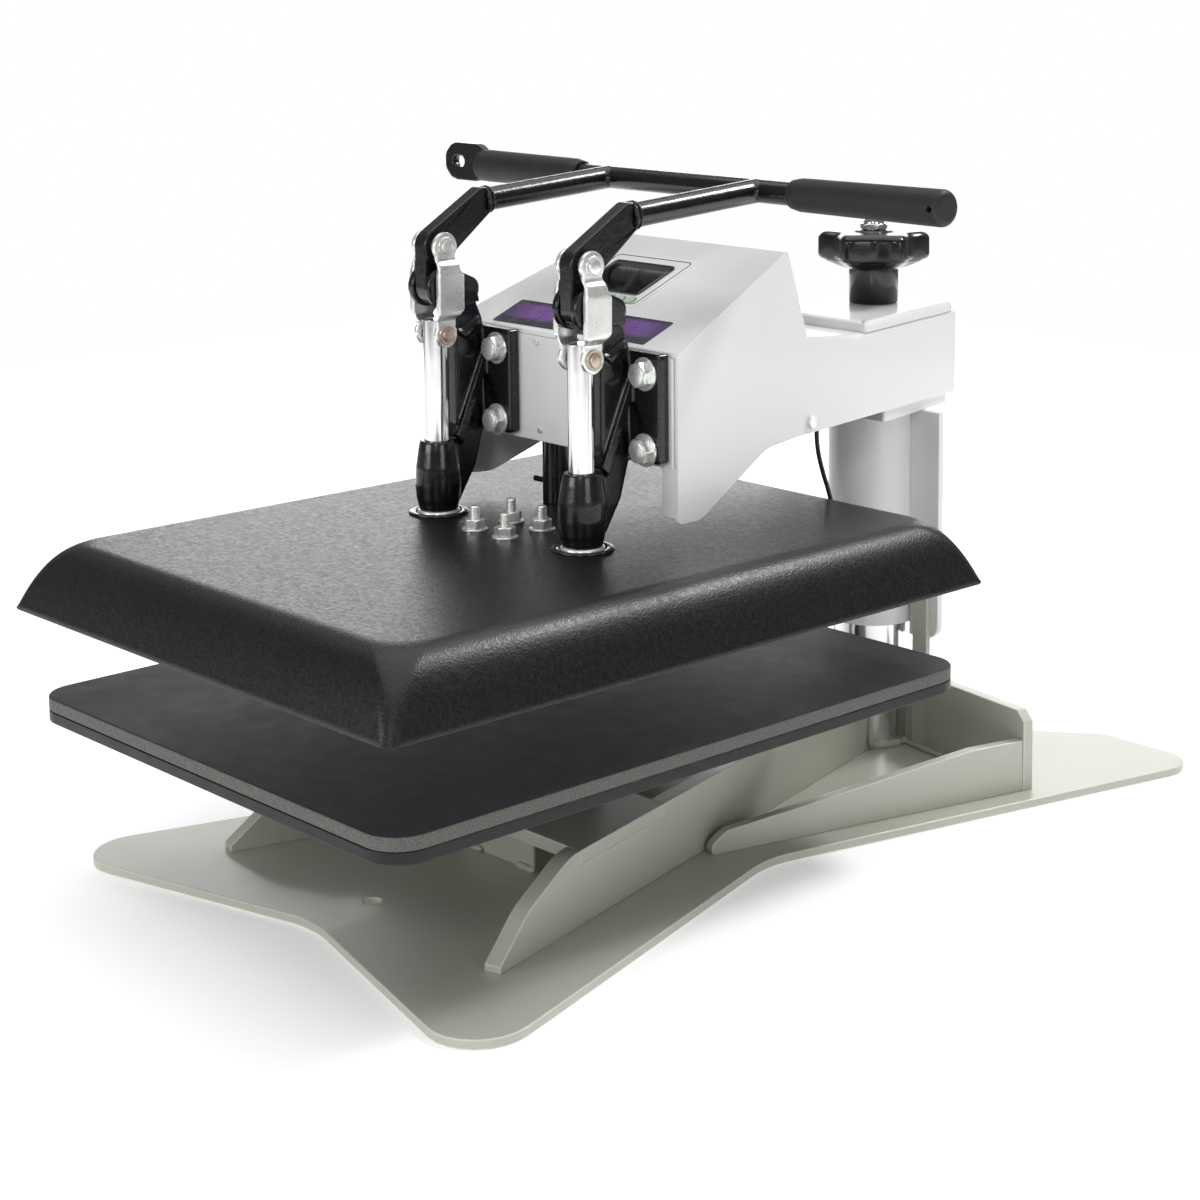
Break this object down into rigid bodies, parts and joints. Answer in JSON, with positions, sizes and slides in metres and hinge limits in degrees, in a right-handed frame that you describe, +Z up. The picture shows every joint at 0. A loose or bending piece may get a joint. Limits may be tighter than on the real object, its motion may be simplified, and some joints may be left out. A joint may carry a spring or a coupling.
{
  "type": "heat transfer press",
  "caption": "Manual tabletop heat press: a heated platen on twin toggle clamps hangs from an arm that swings on a post over a padded lower table.",
  "frame": {"origin": "under the base plate, on the bench plane, straight below the middle of the platens", "axes": "+Z up, +X the operator's right, +Y from the operator towards the post at the back"},
  "size_m": [0.5278, 0.7811, 0.4886],
  "materials": {
    "paint_grey": "satin",
    "paint_white": "gloss",
    "paint_black": "gloss",
    "cover_black": "textured satin",
    "chrome": "polished",
    "zinc": "bright zinc plate",
    "dark_steel": "satin",
    "table_black": "anodised black",
    "aluminium": "machined",
    "pad_rubber": "matte",
    "grip_rubber": "matte",
    "knob_plastic": "gloss",
    "bronze": "satin",
    "display_black": "gloss",
    "overlay_white": "satin",
    "strip_purple": "satin",
    "button_green": "satin",
    "switch_black": "satin",
    "rocker_red": "gloss",
    "board_green": "satin",
    "board_mineral": "matte",
    "lead_black": "satin"
  },
  "bodies": {
    "base": {"base_plate": "paint_grey", "side_ribs": "paint_grey", "tray_walls": "paint_grey", "wing_plates": "paint_grey", "cross_plate": "paint_grey", "pedestal": "paint_grey", "table_riser": "dark_steel", "table_bolts": "zinc", "lower_table": "table_black", "rubber_pad": "pad_rubber", "post": "chrome", "post_nut": "bronze", "stop_bar": "paint_grey"},
    "lift": {"thrust_bearing": "chrome"},
    "knob": {"pressure_knob": "knob_plastic", "knob_screw": "zinc", "dome_nut": "chrome"},
    "arm": {"arm_shell": "paint_white", "front_plate": "paint_white", "sleeve": "paint_white", "post_bushes": "bronze", "rear_cap": "paint_white", "hub_plate": "paint_white", "stop_tab": "paint_white", "control_overlay": "overlay_white", "display_window": "display_black", "colour_strip": "strip_purple", "panel_screws": "zinc", "head_back_plate": "switch_black", "mains_inlet": "switch_black", "switch_frame": "switch_black", "clamp_left": "paint_black", "clamp_right": "paint_black", "clamp_bolts": "zinc", "pivot_pins": "zinc", "controller_board": "board_green", "sensor_lead": "lead_black"},
    "rocker": {"power_rocker": "rocker_red"},
    "key_up": {"button_up": "button_green"},
    "key_down": {"button_down": "button_green"},
    "key_set": {"button_set": "button_green"},
    "handle": {"lever_left": "paint_black", "lever_right": "paint_black", "handle_bar": "paint_black", "grip_left": "grip_rubber", "grip_right": "grip_rubber", "crank_pins": "zinc"},
    "links": {"links_left": "zinc", "links_right": "zinc", "link_rivets": "zinc"},
    "platen": {"platen_cover": "cover_black", "heater_platen": "aluminium", "heating_element": "dark_steel", "insulation": "board_mineral", "platen_studs": "zinc", "stud_nuts": "zinc", "plungers": "chrome", "plunger_pins": "zinc", "plunger_collars": "lead_black", "cable_standpipe": "paint_black"}
  },
  "joints": [
    {"name": "height_slide", "type": "slide", "parent": "base", "child": "lift", "axis": [0, 0, 1], "range_m": [0, 0.012]},
    {"name": "knob_turn", "type": "hinge", "parent": "lift", "child": "knob", "pos_m": [0, 0.38, 0.38], "axis": [0, 0, 1], "range_deg": [0, 1080]},
    {"name": "arm_swing", "type": "hinge", "parent": "lift", "child": "arm", "pos_m": [0, 0.38, 0.3], "axis": [0, 0, 1], "range_deg": [0, 100]},
    {"name": "platen_slide", "type": "slide", "parent": "arm", "child": "platen", "axis": [0, 0, 1], "range_m": [-0.0576, 0], "deforming": ["sensor_lead"]},
    {"name": "handle_turn", "type": "hinge", "parent": "arm", "child": "handle", "pos_m": [0, 0.002, 0.4052], "axis": [1, 0, 0], "range_deg": [0, 180]},
    {"name": "links_turn", "type": "hinge", "parent": "handle", "child": "links", "pos_m": [0, 0.002, 0.434], "axis": [1, 0, 0], "range_deg": [-180, 0]},
    {"name": "power_switch", "type": "hinge", "parent": "arm", "child": "rocker", "pos_m": [-0.038, 0.20247, 0.39483], "axis": [1, 0, 0], "range_deg": [-19.4, 0]},
    {"name": "press_up", "type": "slide", "parent": "arm", "child": "key_up", "axis": [0, 0.3821, -0.9241], "range_m": [0, 0.0012], "stiffness_N_per_m": 300, "springref_m": -0.0006},
    {"name": "press_down", "type": "slide", "parent": "arm", "child": "key_down", "axis": [0, 0.3821, -0.9241], "range_m": [0, 0.0012], "stiffness_N_per_m": 300, "springref_m": -0.0006},
    {"name": "press_set", "type": "slide", "parent": "arm", "child": "key_set", "axis": [0, 0.3821, -0.9241], "range_m": [0, 0.0012], "stiffness_N_per_m": 300, "springref_m": -0.0006}
  ],
  "couplings": [
    {"joint": "knob_turn", "follows": "height_slide", "rad_per_m": 1570.8},
    {"joint": "handle_turn", "follows": "platen_slide", "rad_per_m": -54.541},
    {"joint": "links_turn", "follows": "platen_slide", "rad_per_m": 54.541}
  ]
}
